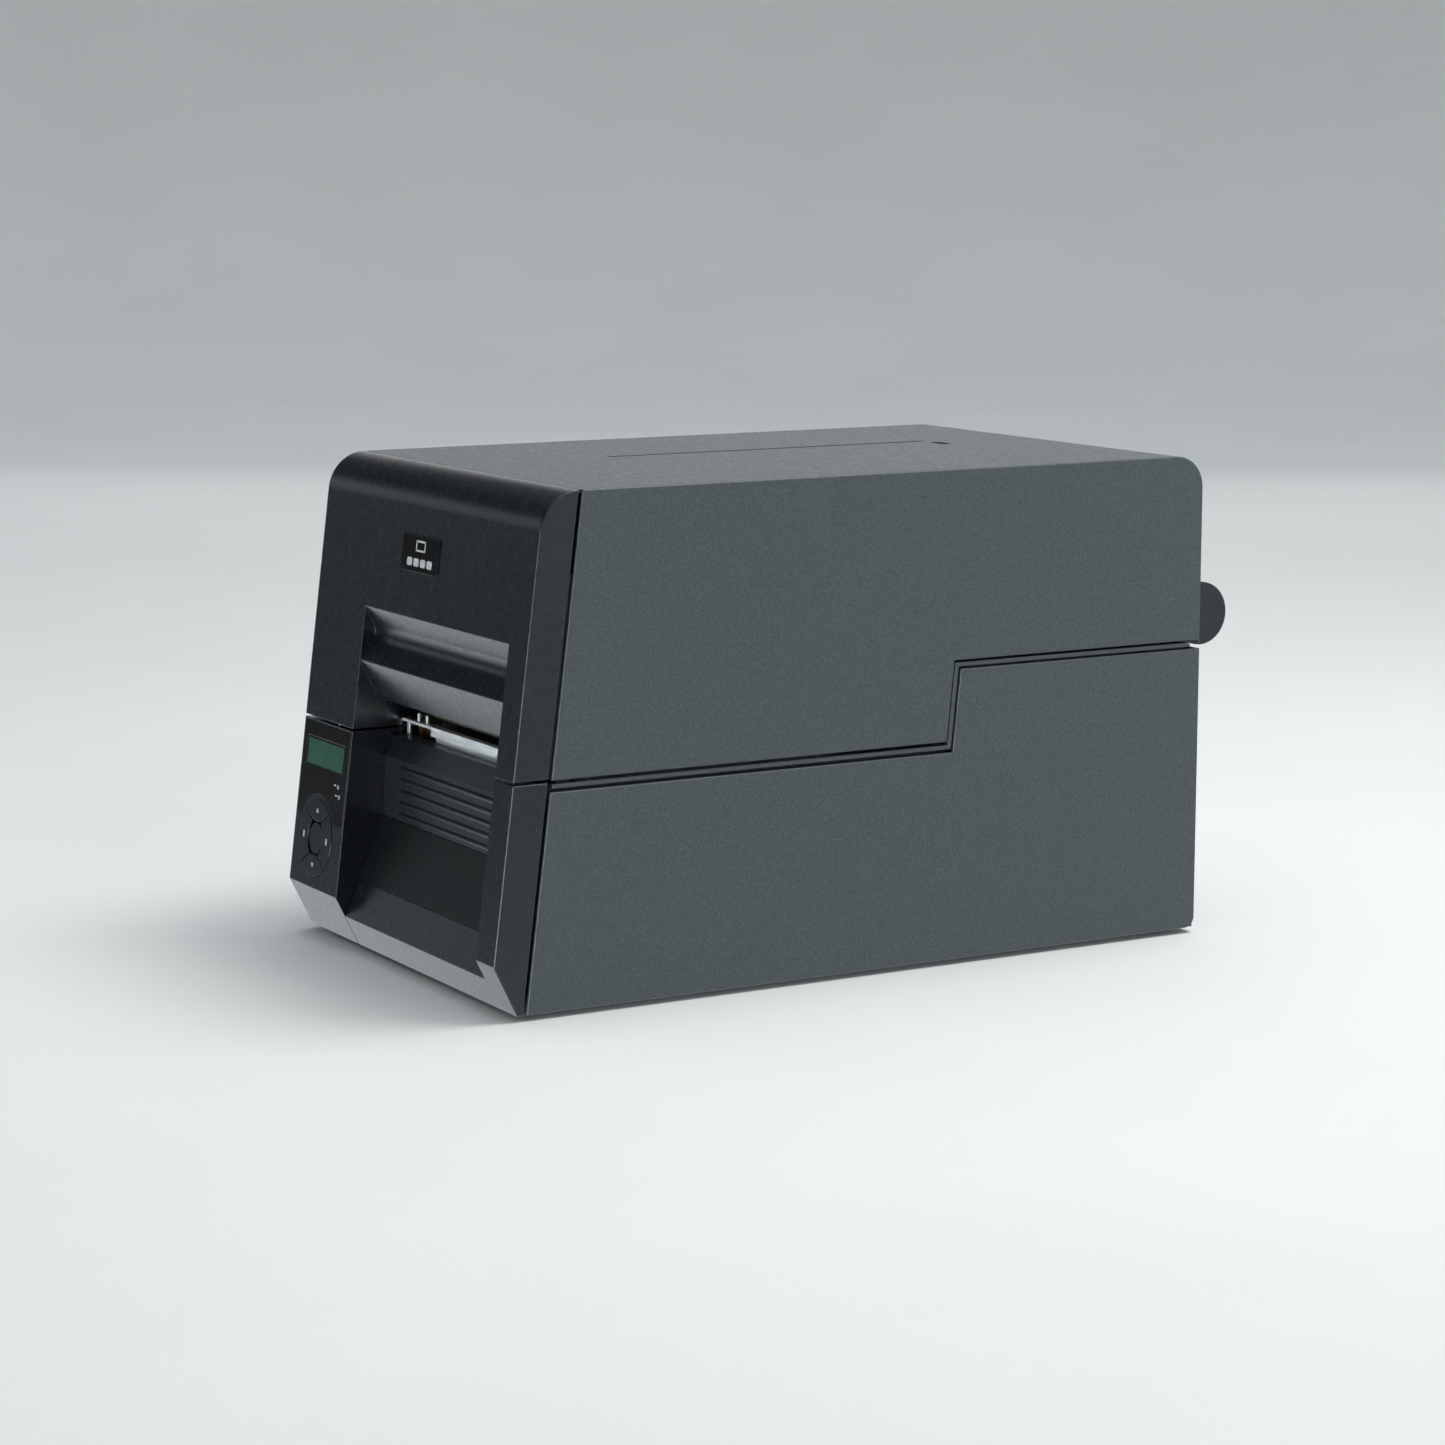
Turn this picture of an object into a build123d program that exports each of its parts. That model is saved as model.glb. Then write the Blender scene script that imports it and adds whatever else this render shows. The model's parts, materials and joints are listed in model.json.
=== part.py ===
from build123d import *

import math
import os

os.makedirs("parts", exist_ok=True)

# Desktop label printer with a lift-up cover, as separate pieces in their places.
# Millimetres, +Z up, the front faces -Y, and the feet stand on z = 0.

# Overall size
WIDTH = 252.0
DEPTH = 444.0
HEIGHT = 261.0
FOOT_HEIGHT = 3.0

# Outline of the case, seen from the side
LEAN = 0.128  # the front plane goes back this much per unit of height
CHAMFER_TOP = 29.2  # height of the front's lower corner
CHAMFER_BACK = 12.8  # how far the chamfer goes back at the underside
FRONT_RADIUS = 21.5
REAR_RADIUS = 17.0
FOOT_CORNER = 6.0  # lower rear corner of the side panels

# Walls and gaps
SHEET = 2.0  # steel panels
WALL = 3.0  # moulded pieces
EDGE = 0.9  # rounding on the outer edges of the case
HAIRLINE = 0.3  # between fixed pieces that only meet
BORE_GAP = 0.05  # between a turning shaft and its hole, on the radius
BEZEL_DEPTH = 20.2  # middle of the slot between the bezels and the side panels
BEZEL_SLOT = 1.8

# The parting line between cover and base
SPLIT_BEZEL = 118.9
GAP_BEZEL = 1.4
SPLIT_FRONT = 116.1
GAP_FRONT = 5.8
SPLIT_REAR = 159.15
GAP_REAR = 4.7
STEP_Y = 43.3
STEP_LEAN = 0.105
GAP_STEP = 4.4
RIM = 2.2  # thickness of the flange that shows in the gap

# Cover hinge
LOBE_RADIUS = 17.0
HINGE_Z = 175.6
HINGE_PIN = 4.0
BRACKET = (89.0, 97.0)  # the hinge bracket lies between these two distances from the middle
BARREL = (104.0, 124.4)

# Front recess where labels come out
RECESS_LEFT = -63.4
RECESS_RIGHT = 106.0
RECESS_TOP = 185.0
NOSE_Z = 156.5
NOSE_RADIUS = 0.7
SCOOP = (-194.8, 169.5)  # the deepest line of the scoop over the label exit
SCOOP_RADIUS = 10.0
LIP = (-196.0, 135.5)
SILL = 19.0
INSERT_FOOT = (-208.9, 38.0)
RIB_FOOT = (-194.0, 72.0)
RIB_TOP = (-192.0, 104.0)
CHUTE_TOP = (-187.0, 115.0)
WALL_END = -172.0  # where the recess's side walls end
WALL_FOOT = -206.0  # and where they end near the floor
RIB_COUNT = 5
RIB_RADIUS = 1.4
RIB_LEFT = -42.0
RIB_FIRST = 99.7
RIB_PITCH = 6.1
TEAR_FRONT = -183.0
TEAR_TOP = 124.0
TEAR_FACE = 5.0
TEAR_DEPTH = 4.0
TEAR_LEFT = -25.0  # the face and the foot of the bar begin here
TEAR_PINS = (-42.5, -32.5)

BADGE = (-2.5, 218.0, 44.0, 19.0)  # middle x, middle z, width, height

# Control column
COLUMN_SEAM = 0.7  # between the column and the moulding at its right
PAD_X = -97.0
PAD_Z = 56.0
PAD_RADIUS = 21.0
KEY_GAP = 0.5
DISPLAY = (-95.0, 100.8, 49.0, 16.5)  # middle x, middle z, width, height
GLOSS_FOOT = 66.0
LIGHTS = ((-74.8, 86.6), (-72.3, 81.6))

# Mechanism
CENTRE_WALL = (-66.0, -64.0)
RIGHT_PLATE = (110.0, 112.0)
SIDE_FRAME = (116.0, 118.0)
MEDIA_X = 22.5
MEDIA_WIDTH = 126.0
PLATEN = (-164.0, 115.0)
PLATEN_RADIUS = 9.0
PLATEN_SHAFT = 4.0
GEAR_X = (-78.0, -72.0)
MODULE = 1.0
PRESSURE = math.radians(20)
BACKLASH = 0.16
PLATEN_TEETH = 30
IDLER_TEETH = 40
PINION_TEETH = 18
IDLER_ANGLE = -31.0
MOTOR_ANGLE = -25.0
HEAD_PIVOT = (-92.0, 152.0)
SUPPLY = (-60.0, 188.0)
TAKEUP = (-128.0, 208.0)
SPINDLE_SHAFT = 3.5
HUB = (90.0, 118.0)
GUIDE_HALF = 67.0
RODS_Y = (55.0, 125.0)
ROD_Z = 22.0
ROD_RADIUS = 4.0
RACK_Z = (9.4, 13.4)
RACK_TEETH = 20

CENTRE_TEETH = 20
CENTRE_PIN = 2.95
PLATE_REAR = 192.0
BUSHING = 7.0
PIVOT_ROD = 4.0
IDLER_PIN = 3.0
MOTOR_X = (-113.0, -84.0)
MOTOR_HALF = 21.0
DECK = 142.0  # height of the plate that the print head hangs from
HEAD_HALF = 60.0  # half the width of the print head unit
FIN_COUNT = 15
FIN_PITCH = 7.6
SPINDLE_CORE = 11.0

# Rear openings: middle x, middle z, width, height
PAPER_SLOT = (MEDIA_X, 99.0, 121.0, 8.0)
INLET = (-90.0, 30.0, 28.0, 24.0)
SWITCH = (-90.0, 63.0, 14.0, 24.0)
SQUARE_PORT = (-79.0, 91.0, 12.0, 12.0)
WIDE_PORT = (-81.0, 115.0, 16.0, 14.0)
ROCKER_PIN = 1.5
ROCKER_DEPTH = 6.0
ROCKER_TILT = 6.0  # how far the rocker leans at rest, in degrees
BOARD_X = -72.0  # the side of the main board that carries its parts
BOARD_SHEET = 1.6

# Derived values
HALF = WIDTH / 2
FRONT_Y = -DEPTH / 2
HINGE_Y = DEPTH / 2 - LOBE_RADIUS
REAR_Y = HINGE_Y - 1.0
FLOOR = FOOT_HEIGHT
INNER = HALF - SHEET
PANEL_X = INNER - HAIRLINE
COS_LEAN = 1 / math.hypot(1, LEAN)
FRONT_PLANE = Plane((0, FRONT_Y, CHAMFER_TOP), x_dir=(1, 0, 0), z_dir=(0, -1, LEAN))
COVER_FOOT = SPLIT_BEZEL + GAP_BEZEL / 2
BASE_HEAD = SPLIT_BEZEL - GAP_BEZEL / 2


# Shared shapes


def front(z, back=0.0):
    """Where the leaning front plane is at height z, moved back by some distance."""
    return FRONT_Y + LEAN * (z - CHAMFER_TOP) + back


def chamfer(z):
    """Where the chamfer under the front plane is at height z."""
    return FRONT_Y + CHAMFER_BACK * (CHAMFER_TOP - z) / (CHAMFER_TOP - FLOOR)


def step(z):
    """Where the middle of the slanted step in the parting line is at height z."""
    return STEP_Y + STEP_LEAN * (z - SPLIT_FRONT)


def block(x, y, z):
    """A box from three (low, high) pairs."""
    size = [high - low for low, high in (x, y, z)]
    middle = [(high + low) / 2 for low, high in (x, y, z)]
    return Pos(*middle) * Box(*size)


def rod_x(radius, x, y, z):
    """A rod along X between the two values of x."""
    return Pos((x[0] + x[1]) / 2, y, z) * Rot(0, 90, 0) * Cylinder(radius, x[1] - x[0])


def rod_y(radius, x, y, z):
    """A rod along Y between the two values of y."""
    return Pos(x, (y[0] + y[1]) / 2, z) * Rot(90, 0, 0) * Cylinder(radius, y[1] - y[0])


def rod_z(radius, x, y, z):
    """A rod along Z between the two values of z."""
    return Pos(x, y, (z[0] + z[1]) / 2) * Cylinder(radius, z[1] - z[0])


def outline(points, rounds=()):
    """A flat outline with some of its corners rounded: rounds holds (corner, radius) pairs."""
    face = make_face(Polyline(*points, close=True))
    for (u, v), radius in rounds:
        corner = face.vertices().sort_by_distance((u, v, 0))[0]
        face = fillet(corner, radius)
    return face


def slab(points, x, rounds=()):
    """A side outline of (y, z) points, drawn out across the body between two values of x."""
    return extrude(Plane.YZ.offset(x[0]) * outline(points, rounds), x[1] - x[0])


def front_plate(sketch, x, z, depth):
    """A sketch placed on the front plane at (x, z) and drawn out between two depths behind it."""
    place = FRONT_PLANE * Pos(x, (z - CHAMFER_TOP) / COS_LEAN, -depth[1])
    return extrude(place * sketch, depth[1] - depth[0])


def swap(shape):
    """The same shape on the other side of the middle."""
    return mirror(shape, about=Plane.YZ)


def both(shape):
    """The shape and its mirror image."""
    return shape + swap(shape)


def polar(origin, distance, degrees):
    """The point at some distance and angle from an origin."""
    angle = math.radians(degrees)
    return origin[0] + distance * math.cos(angle), origin[1] + distance * math.sin(angle)


def involute(base, radius):
    """The involute angle at some radius."""
    angle = math.acos(min(1.0, base / radius))
    return math.tan(angle) - angle


def gear(teeth, phase):
    """An involute gear outline with a tooth centred at the angle phase."""
    pitch = MODULE * teeth / 2
    base = pitch * math.cos(PRESSURE)
    tip = pitch + MODULE
    root = pitch - 1.25 * MODULE
    start = max(base, root)
    half = math.pi / (2 * teeth) - BACKLASH / (2 * pitch) + involute(base, pitch)
    rise = [start + (tip - start) * k / 3 for k in range(4)]
    flank = [(root, half)] + [(r, half - involute(base, r)) for r in rise]
    points = []
    for n in range(teeth):
        middle = phase + 360 * n / teeth
        side = [(r, math.degrees(a)) for r, a in flank]
        points += [polar((0, 0), r, middle - a) for r, a in side]
        points += [polar((0, 0), r, middle + a) for r, a in reversed(side)]
    return outline(points)


def meshed(angle, teeth_a, phase_a, teeth_b):
    """The phase of gear b that puts it in mesh with gear a, b being at some angle from a."""
    share = (angle - phase_a) * teeth_a / 360
    return angle + 180 - 360 / teeth_b * (0.5 - share)


def wheel(teeth, phase, centre, x, bore):
    """A gear that turns about an axis along X."""
    body = extrude(Plane.YZ.offset(x[0]) * Pos(*centre) * gear(teeth, phase), x[1] - x[0])
    return body - rod_x(bore, (x[0] - 1, x[1] + 1), *centre)


# Case panels


def cover_outline():
    """The cover's side panel outline and its rounded corner."""
    low = SPLIT_FRONT + GAP_FRONT / 2
    high = SPLIT_REAR + GAP_REAR / 2
    slot = BEZEL_DEPTH + BEZEL_SLOT / 2
    points = [
        (front(low, slot), low),
        (front(HEIGHT, slot), HEIGHT),
        (REAR_Y, HEIGHT),
        (REAR_Y, high),
        (step(high) - GAP_STEP / 2, high),
        (step(low) - GAP_STEP / 2, low),
    ]
    return points, [(points[2], REAR_RADIUS)]


def base_outline():
    """The base's side panel outline and its rounded corner."""
    low = SPLIT_FRONT - GAP_FRONT / 2
    high = SPLIT_REAR - GAP_REAR / 2
    slot = BEZEL_DEPTH + BEZEL_SLOT / 2
    points = [
        (front(FLOOR, slot), FLOOR),
        (front(low, slot), low),
        (step(low) + GAP_STEP / 2, low),
        (step(high) + GAP_STEP / 2, high),
        (REAR_Y, high),
        (REAR_Y, FLOOR),
    ]
    return points, [(points[5], FOOT_CORNER)]


def side_panel(shape):
    """A flat steel side panel on the right, with its outer edges rounded."""
    points, rounds = shape
    return round_side(slab(points, (INNER, HALF), rounds), -1)


def side_frame():
    """The inner side frame on the right, whose flange shows in the parting gap."""
    half = RIM / 2
    slot = BEZEL_DEPTH + BEZEL_SLOT
    top = [
        (front(SPLIT_FRONT, slot), SPLIT_FRONT + half),
        (step(SPLIT_FRONT) - half, SPLIT_FRONT + half),
        (step(SPLIT_REAR) - half, SPLIT_REAR + half),
        (REAR_Y - 3 * SHEET, SPLIT_REAR + half),
    ]
    corners = (0, RIM, RIM, 0)  # the two bends move back so that the rim keeps its thickness
    low = [(y + shift, z - RIM) for (y, z), shift in zip(top, corners)]
    rim = slab(top + low[::-1], (SIDE_FRAME[0], HALF - SHEET / 2))
    foot = [(REAR_Y - 3 * SHEET, FLOOR + SHEET), (front(FLOOR, slot + WALL), FLOOR + SHEET)]
    frame = rim + slab(low + foot, SIDE_FRAME)
    return frame - rod_x(LOBE_RADIUS + 0.6, (SIDE_FRAME[0] - 1, HALF), HINGE_Y, HINGE_Z)


def cover_top():
    """The top panel, bent down at the back into the cover's rear wall."""
    foot = SPLIT_REAR + GAP_REAR / 2
    start = front(HEIGHT, BEZEL_DEPTH - BEZEL_SLOT / 2 + 0.5)
    outer = slab(
        [(start, HEIGHT - 40), (start, HEIGHT), (REAR_Y, HEIGHT), (REAR_Y, foot), (0, foot)],
        (-PANEL_X, PANEL_X),
        [((REAR_Y, HEIGHT), REAR_RADIUS)],
    )
    inside = REAR_Y - SHEET
    hollow = slab(
        [(start - 1, 0), (start - 1, HEIGHT - SHEET), (inside, HEIGHT - SHEET), (inside, 0)],
        (-HALF, HALF),
        [((inside, HEIGHT - SHEET), REAR_RADIUS - SHEET)],
    )
    shell = outer - hollow
    head = HINGE_Z + LOBE_RADIUS + HAIRLINE
    notch = block((BRACKET[0] - 2, HALF), (inside - 1, REAR_Y + 1), (foot - 1, head))
    return shell - both(notch) - top_channel()


def top_channel():
    """The long channel pressed into the top panel, and the oval pocket at its end."""
    channel = Pos(-26.5, 23.5, HEIGHT) * extrude(SlotOverall(200, 5, rotation=90), -1.2)
    pocket = Pos(-10.5, 125.0, HEIGHT) * extrude(SlotOverall(15, 6), -1.4)
    return channel + pocket


def cover_frame():
    """The folded frame that stiffens the cover from inside."""
    y = (front(HEIGHT, BEZEL_DEPTH + 3), REAR_Y - REAR_RADIUS - 3)
    z = (HEIGHT - 20, HEIGHT - SHEET)
    frame = block((-INNER, INNER), y, z)
    frame -= block((SHEET - INNER, INNER - SHEET), (y[0] + SHEET, y[1] - SHEET), (z[0] - 1, z[1] + 1))
    for rib in (-60.0, 80.0):
        frame += block((-INNER + 1, INNER - 1), (rib, rib + SHEET), (z[1] - 8, z[1]))
    return frame


def hinge_barrel():
    """The round hinge housing at the cover's right rear corner, with its mounting flange."""
    barrel = rod_x(LOBE_RADIUS, BARREL, HINGE_Y, HINGE_Z)
    barrel -= block((PANEL_X - 0.5, HALF + 1), (HINGE_Y - 40, REAR_Y + HAIRLINE), (0, HEIGHT))
    bore = (BARREL[0] - 1, BARREL[1] - 4)
    barrel -= rod_x(HINGE_PIN + BORE_GAP, bore, HINGE_Y, HINGE_Z)
    inside = REAR_Y - SHEET
    flange_x = (BARREL[0], PANEL_X - 1)
    neck = block(flange_x, (inside - 6, inside), (HINGE_Z, HINGE_Z + LOBE_RADIUS + 22))
    neck -= rod_x(HINGE_PIN + BORE_GAP, bore, HINGE_Y, HINGE_Z)
    return barrel + neck


# Front mouldings


def round_side(body, end):
    """The body with the edges of one of its end faces along X rounded: end is 0 left, -1 right."""
    return fillet(body.faces().sort_by(Axis.X)[end].edges(), EDGE)


def bezel_outline(low, high, inset=0.0):
    """The bezels' common side outline between two heights, set in from the outside."""
    back = BEZEL_DEPTH - BEZEL_SLOT / 2 if not inset else 60
    points = [(front(high, back), high), (front(low, back), low)]
    if low < CHAMFER_TOP:
        points += [(chamfer(low) + inset, low), (front(CHAMFER_TOP, inset), CHAMFER_TOP + inset / 3)]
    else:
        points += [(front(low, inset), low)]
    return points + [(front(high, inset), high)]


def scoop():
    """The scooped strip over the label exit: in from the front, out to the nose, down to the lip."""
    top = (front(RECESS_TOP), RECESS_TOP)
    nose = (front(NOSE_Z), NOSE_Z)
    scoop_in = (SCOOP[0] + WALL, SCOOP[1] + 0.5)
    points = [
        top,
        SCOOP,
        nose,
        LIP,
        (LIP[0] + WALL, LIP[1]),
        (nose[0] + 4.2, nose[1] - 0.4),
        scoop_in,
        (top[0] + WALL, RECESS_TOP + 3),
    ]
    rounds = [(SCOOP, SCOOP_RADIUS), (nose, NOSE_RADIUS), (scoop_in, SCOOP_RADIUS - WALL)]
    return slab(points, (RECESS_LEFT - 1, RECESS_RIGHT + 1), rounds)


def cover_bezel():
    """The cover's front moulding."""
    rounding = [((front(HEIGHT), HEIGHT), FRONT_RADIUS)]
    outer = slab(bezel_outline(COVER_FOOT, HEIGHT), (-HALF, HALF), rounding)
    outer = round_side(round_side(outer, 0), -1)
    roof = HEIGHT - WALL
    hollow = slab(
        bezel_outline(COVER_FOOT - 5, roof, WALL),
        (WALL - HALF, HALF - WALL),
        [((front(roof, WALL), roof), FRONT_RADIUS - WALL)],
    )
    shell = outer - hollow
    opening = (RECESS_LEFT, RECESS_RIGHT)
    shell -= block(opening, (FRONT_Y, front(RECESS_TOP, WALL + 1)), (COVER_FOOT - 1, RECESS_TOP))
    cheek = [
        (front(COVER_FOOT), COVER_FOOT),
        (front(RECESS_TOP + 5), RECESS_TOP + 5),
        (WALL_END - 8, RECESS_TOP + 5),
        (WALL_END, RECESS_TOP - 20),
        (WALL_END, COVER_FOOT),
    ]
    shell += slab(cheek, (RECESS_LEFT - WALL, RECESS_LEFT))
    shell += slab(cheek, (RECESS_RIGHT, RECESS_RIGHT + WALL))
    return shell + scoop() + both(bezel_tab())


def bezel_tab():
    """A tongue behind the bezel's side that the right side panel is fixed to."""
    inner = (HALF - WALL - SHEET, INNER - HAIRLINE / 3)
    points = [
        (front(COVER_FOOT, 8), COVER_FOOT),
        (front(220, 8), 220),
        (front(220, 34), 220),
        (front(COVER_FOOT, 34), COVER_FOOT),
    ]
    return slab(points, inner)


def badge():
    """A small blank badge plate on the cover's front."""
    return front_plate(RectangleRounded(*BADGE[2:], 1.5), *BADGE[:2], (-0.5, -0.02))


def lower_shell(x, hollow_x):
    """A lower front moulding between two values of x, hollow between two more."""
    outer = slab(bezel_outline(FLOOR, BASE_HEAD), x)
    outer = round_side(outer, -1 if x[1] == HALF else 0)
    return outer - slab(bezel_outline(FLOOR + WALL, BASE_HEAD + 5, WALL), hollow_x)


def recess_wall(x):
    """One side wall of the recess, on the base."""
    points = [
        (front(BASE_HEAD), BASE_HEAD),
        (FRONT_Y, CHAMFER_TOP),
        (chamfer(FLOOR + 5), FLOOR + 5),
        (WALL_FOOT, FLOOR + 5),
        (WALL_FOOT, FLOOR + 15),
        (WALL_END, 60),
        (WALL_END, BASE_HEAD),
    ]
    return slab(points, x)


def lower_bezel():
    """The right jamb, the sill under the recess and the chamfer, in one moulding."""
    x = (RECESS_LEFT + COLUMN_SEAM, HALF)
    shell = lower_shell(x, (x[0] - 1, x[1] - WALL))
    slope = (INSERT_FOOT[0] - chamfer(SILL)) / (INSERT_FOOT[1] - SILL)
    sill = (chamfer(SILL), SILL)
    top = BASE_HEAD + 1
    cut = [(FRONT_Y - 20, SILL), sill, (sill[0] + slope * (top - SILL), top), (FRONT_Y - 20, top)]
    shell -= slab(cut, (x[0] - 1, RECESS_RIGHT))
    shell += recess_wall((RECESS_RIGHT, RECESS_RIGHT + WALL))
    band = [sill, INSERT_FOOT, (INSERT_FOOT[0] + WALL, INSERT_FOOT[1] - 1.2), (sill[0] + WALL, SILL - 4)]
    return shell + slab(band, (x[0], RECESS_RIGHT + 1))


def control_column():
    """The moulding at the front left that holds the display and the keypad."""
    x = (-HALF, RECESS_LEFT)
    shell = lower_shell(x, (x[0] + WALL, x[1] - WALL)) + recess_wall((x[1] - WALL, x[1]))
    shell -= front_plate(gloss_shape(HAIRLINE / 2), 0, CHAMFER_TOP, (-1, SHEET))
    window = Rectangle(DISPLAY[2] + 4, DISPLAY[3] + 4)
    shell -= front_plate(window, DISPLAY[0], DISPLAY[1], (-1, WALL + 2))
    shell -= front_plate(Circle(PAD_RADIUS + KEY_GAP), PAD_X, PAD_Z, (-1, WALL + 2))
    for place in LIGHTS:
        shell -= front_plate(Circle(1.5), *place, (-1, WALL + 2))
    for x in (-119, -70):
        for z in (40, 113.5):
            shell += front_plate(Circle(2.2), x, z, (WALL - 0.5, 8))
    return shell


def gloss_shape(grow=0.0):
    """The gloss panel's outline on the front plane: a rectangle that ends round the keypad."""
    x = (-HALF + 1.6 - grow, RECESS_LEFT - 1.6 + grow)
    z = ((GLOSS_FOOT - CHAMFER_TOP) / COS_LEAN - grow, (BASE_HEAD - 1 - CHAMFER_TOP) / COS_LEAN + grow)
    corners = [(x[0], z[0]), (x[1], z[0]), (x[1], z[1]), (x[0], z[1])]
    keypad = Pos(PAD_X, (PAD_Z - CHAMFER_TOP) / COS_LEAN) * Circle(PAD_RADIUS + 2.5 - grow)
    return outline(corners, [(corner, 2.0) for corner in corners]) - keypad


def display_panel():
    """The gloss panel round the display."""
    panel = front_plate(gloss_shape(), 0, CHAMFER_TOP, (0, SHEET))
    panel -= front_plate(Rectangle(DISPLAY[2], DISPLAY[3]), DISPLAY[0], DISPLAY[1], (-1, SHEET + 1))
    for place in LIGHTS:
        panel -= front_plate(Circle(1.3), *place, (-1, SHEET + 1))
    return panel


def display_glass():
    """The display, with its carrier behind the gloss panel."""
    glass = front_plate(Rectangle(DISPLAY[2] - 0.2, DISPLAY[3] - 0.2), DISPLAY[0], DISPLAY[1], (0.3, 2.1))
    carrier = Rectangle(DISPLAY[2] + 2.6, DISPLAY[3] + 2.6)
    return glass + front_plate(carrier, DISPLAY[0], DISPLAY[1], (2.1, 6.8))


def keypad_base():
    """The plate behind the keys, with the hub that stands between them."""
    hub = Ellipse(8.5, 8.2)
    plate = front_plate(Circle(PAD_RADIUS + WALL), PAD_X, PAD_Z, (WALL + 0.1, WALL + 2))
    return plate + front_plate(hub, PAD_X, PAD_Z, (0.2, WALL + 1))


def key_outline(name):
    """A key's outline about the middle of the keypad."""
    disc = Circle(PAD_RADIUS)
    reach = PAD_RADIUS + 6
    lens = PAD_RADIUS - 3.1
    if name in ("up", "down"):
        side = 1 if name == "up" else -1
        return disc & (Pos(0, side * reach) * Circle(lens))
    side = 1 if name == "right" else -1
    rest = disc - Ellipse(9.3, 12)
    rest -= Pos(0, reach) * Circle(lens + 2 * KEY_GAP)
    rest -= Pos(0, -reach) * Circle(lens + 2 * KEY_GAP)
    return rest & (Pos(side * reach / 2, 0) * Rectangle(reach - 8, 2 * reach))


def key(name):
    """One of the four keys round the hub."""
    return front_plate(key_outline(name), PAD_X, PAD_Z, (-0.3, 2.2))


def status_lights():
    """Two light pipes beside the display."""
    pipes = [front_plate(Circle(1.2), *place, (0.05, 8)) for place in LIGHTS]
    return pipes[0] + pipes[1]


def control_board():
    """The circuit board behind the display and the keypad."""
    return front_plate(Rectangle(54, 78), -94.5, 76.5, (8, 9.6))


def ribbed_chute():
    """The upright part of the chute, with raised ribs across it and a shelf for the tear bar."""
    shelf = TEAR_FRONT + TEAR_DEPTH
    points = [RIB_FOOT, RIB_TOP, CHUTE_TOP, (shelf, CHUTE_TOP[1])]
    rear = [(shelf, CHUTE_TOP[1] - WALL), (TEAR_FRONT, CHUTE_TOP[1] - WALL)]
    rear += [(RIB_TOP[0] + WALL, RIB_TOP[1] - 1), (RIB_FOOT[0] + WALL, RIB_FOOT[1])]
    x = (RECESS_LEFT + HAIRLINE, RECESS_RIGHT - HAIRLINE)
    chute = slab(points + rear, x)
    lean = (RIB_TOP[0] - RIB_FOOT[0]) / (RIB_TOP[1] - RIB_FOOT[1])
    for n in range(RIB_COUNT):
        z = RIB_FIRST - n * RIB_PITCH
        y = RIB_FOOT[0] + lean * (z - RIB_FOOT[1]) + 0.3
        chute += rod_x(RIB_RADIUS, (RIB_LEFT, x[1] - 2), y, z)
    return chute


def chute_insert():
    """The dark sloping panel at the foot of the chute."""
    rise = (RIB_FOOT[0] - INSERT_FOOT[0], RIB_FOOT[1] - INSERT_FOOT[1])
    length = math.hypot(*rise)
    along = (rise[0] / length, rise[1] / length)
    low = (INSERT_FOOT[0] + along[0] * HAIRLINE, INSERT_FOOT[1] + along[1] * HAIRLINE)
    high = (RIB_FOOT[0] - along[0] * HAIRLINE, RIB_FOOT[1] - along[1] * HAIRLINE)
    behind = (2.5 * along[1], -2.5 * along[0])
    back = [(high[0] + behind[0], high[1] + behind[1]), (low[0] + behind[0], low[1] + behind[1])]
    points = [low, high, *back]
    return slab(points, (RECESS_LEFT + HAIRLINE, RECESS_RIGHT - HAIRLINE))


def tear_bar():
    """The steel bar that labels are torn against: a thin rail, with a taller face on the right."""
    left = RECESS_LEFT + WALL
    right = RECESS_RIGHT - 1
    y = (TEAR_FRONT, TEAR_FRONT + TEAR_DEPTH)
    sheet = 1.2
    bar = block((left, right), y, (TEAR_TOP - 1.5, TEAR_TOP))
    bar += block((TEAR_LEFT, right), (y[0], y[0] + sheet), (TEAR_TOP - TEAR_FACE, TEAR_TOP))
    bar += block((TEAR_LEFT, right), (y[1] - sheet, y[1]), (CHUTE_TOP[1], TEAR_TOP))
    bar += block((left, left + WALL), (y[1] - sheet, y[1]), (CHUTE_TOP[1], TEAR_TOP))
    for x in TEAR_PINS:
        bar += block((x - 0.8, x + 0.8), (y[0] + 1, y[0] + 2.2), (TEAR_TOP - 1, TEAR_TOP + 4.5))
    return bar


# Base structure


def base_pan():
    """The folded floor pan with its rear wall, its vents and its side flanges."""
    y = (front(FLOOR, BEZEL_DEPTH + 2), REAR_Y)
    head = SPLIT_REAR - GAP_REAR / 2
    pan = block((-PANEL_X, PANEL_X), y, (FLOOR, FLOOR + SHEET))
    pan += block((-PANEL_X, PANEL_X), (REAR_Y - SHEET, REAR_Y), (FLOOR, head))
    pan += block((-PANEL_X, PANEL_X), (y[0], y[0] + SHEET), (FLOOR, FLOOR + 10))
    flange = block((PANEL_X - SHEET, PANEL_X), (y[0] + 8, REAR_Y - 3), (FLOOR, FLOOR + 14))
    pan = pan + both(flange) - pan_vents() - rear_cuts()
    return pan


def pan_vents():
    """Rows of vent slots through the floor under the electronics."""
    slots = Sketch()
    for n in range(7):
        slots += Pos(-92, -60 + 14 * n) * SlotOverall(34, 4)
    return Pos(0, 0, FLOOR - 1) * extrude(slots, SHEET + 2)


def opening(place, y, grow=0.0):
    """A block through a rear opening between two values of y, larger all round by grow."""
    x, z, width, height = place
    wide = (x - width / 2 - grow, x + width / 2 + grow)
    tall = (z - height / 2 - grow, z + height / 2 + grow)
    return block(wide, y, tall)


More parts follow.
